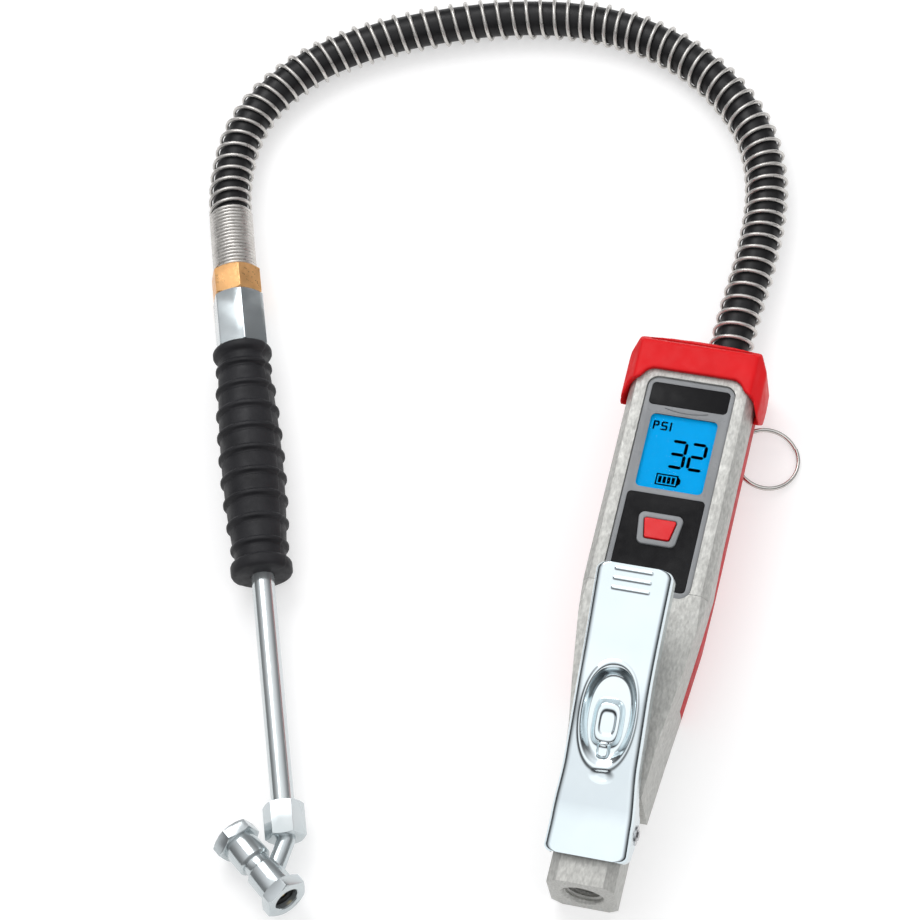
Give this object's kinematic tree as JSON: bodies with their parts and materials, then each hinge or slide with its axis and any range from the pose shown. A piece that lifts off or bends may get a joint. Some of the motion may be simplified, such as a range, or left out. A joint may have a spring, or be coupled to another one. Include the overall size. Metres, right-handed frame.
{
  "type": "tyre inflator with gauge",
  "caption": "Hand-held tyre inflator: digital gauge head with a squeeze lever and threaded air inlet, rubber hose with wire guard, and a gripped lance with a twin-ended valve connector.",
  "frame": {"origin": "centre of the air inlet's mouth", "axes": "+Y from the inlet towards the gauge head, +Z out of the side with the display and lever, +X to the user's right when the display is read with the head away from the user"},
  "size_m": [0.2375, 0.3719, 0.0601],
  "materials": {
    "casting": "as-cast, satin",
    "red_plastic": "moulded, fine texture",
    "bumper_rubber": "soft matt",
    "fascia": "satin",
    "label": "satin",
    "keypad": "fine texture",
    "lens": "polished",
    "display": "lit display",
    "bezel": "satin",
    "button": "satin",
    "black_plastic": "moulded",
    "board": "solder mask",
    "steel": "plain",
    "screw_steel": "zinc plated",
    "seal_rubber": "plain",
    "battery_sleeve": "printed sleeve, blank",
    "lever_steel": "zinc plated",
    "brass": "plain",
    "nut_brass": "plain",
    "clear_tube": "plain",
    "hose_rubber": "smooth",
    "guard_steel": "wound wire",
    "zinc": "zinc plated",
    "grip_rubber": "moulded",
    "lance_chrome": "plated",
    "ring_steel": "plated wire"
  },
  "bodies": {
    "tool": {"valve_body": "casting", "front_shell": "casting", "rear_cover": "red_plastic", "bumper": "bumper_rubber", "fascia": "fascia", "label_plate": "label", "keypad_panel": "keypad", "display_lens": "lens", "display_module": "display", "button_bezel": "bezel", "button_switch": "black_plastic", "circuit_board": "board", "pressure_sensor": "steel", "sensor_seal": "seal_rubber", "batteries": "battery_sleeve", "battery_contacts": "steel", "battery_door": "red_plastic", "battery_door_screw": "screw_steel", "case_screws": "screw_steel", "valve_screws": "screw_steel", "lever_pin": "steel", "pin_clip": "steel", "pivot_washers": "seal_rubber", "lever_spring": "steel", "plunger_seal": "seal_rubber", "plunger_gland": "brass", "poppet_spring": "steel", "valve_plug": "brass", "plug_seal": "seal_rubber", "inlet_strainer": "steel", "outlet_tube": "clear_tube", "hose_adaptor": "brass", "hose_ferrule": "steel", "hose": "hose_rubber", "spring_guard": "guard_steel", "hose_tail": "brass", "brass_nut": "nut_brass", "hex_adaptor": "zinc", "grip": "grip_rubber", "lance_tube": "lance_chrome", "tube_collar": "zinc", "connector_body": "zinc", "front_cap": "zinc", "rear_cap": "zinc", "front_seal": "seal_rubber", "rear_seal": "seal_rubber", "front_pin_spring": "steel", "rear_pin_spring": "steel"},
    "lever_body": {"lever": "lever_steel"},
    "plunger_body": {"valve_plunger": "steel"},
    "poppet_body": {"inlet_poppet": "brass", "poppet_seal": "seal_rubber"},
    "button_body": {"scale_button": "button"},
    "ring_body": {"hanging_ring": "ring_steel"},
    "front_pin_body": {"front_pin": "brass"},
    "rear_pin_body": {"rear_pin": "brass"}
  },
  "joints": [
    {"name": "lever_pivot", "type": "hinge", "parent": "tool", "child": "lever_body", "pos_m": [0, 0.022, 0.0065], "axis": [-1, 0, 0], "range_deg": [0, 8], "stiffness_Nm_per_rad": 4, "springref_deg": -3.44},
    {"name": "plunger_slide", "type": "slide", "parent": "tool", "child": "plunger_body", "axis": [0, 0, -1], "range_m": [0, 0.0046], "deforming": ["lever_spring"]},
    {"name": "poppet_slide", "type": "slide", "parent": "tool", "child": "poppet_body", "axis": [0, 0, -1], "range_m": [0, 0.0031], "deforming": ["poppet_spring"]},
    {"name": "button_press", "type": "slide", "parent": "tool", "child": "button_body", "axis": [0, 0, -1], "range_m": [0, 0.0008], "stiffness_N_per_m": 1500, "springref_m": -0.0005},
    {"name": "front_pin_slide", "type": "slide", "parent": "tool", "child": "front_pin_body", "axis": [-0.786, 0.61, -0.1], "range_m": [0, 0.0015], "stiffness_N_per_m": 600, "springref_m": -0.0005, "deforming": ["front_pin_spring"]},
    {"name": "rear_pin_slide", "type": "slide", "parent": "tool", "child": "rear_pin_body", "axis": [0.786, -0.61, 0.1], "range_m": [0, 0.0015], "stiffness_N_per_m": 600, "springref_m": -0.0005, "deforming": ["rear_pin_spring"]},
    {"name": "ring_swing", "type": "hinge", "parent": "tool", "child": "ring_body", "pos_m": [0.0158, 0.173, -0.006], "axis": [0, 1, 0], "range_deg": [-30, 70]}
  ],
  "couplings": [
    {"joint": "plunger_slide", "follows": "lever_pivot", "m_per_rad": 0.0322},
    {"joint": "poppet_slide", "follows": "lever_pivot", "m_per_rad": 0.0215}
  ]
}
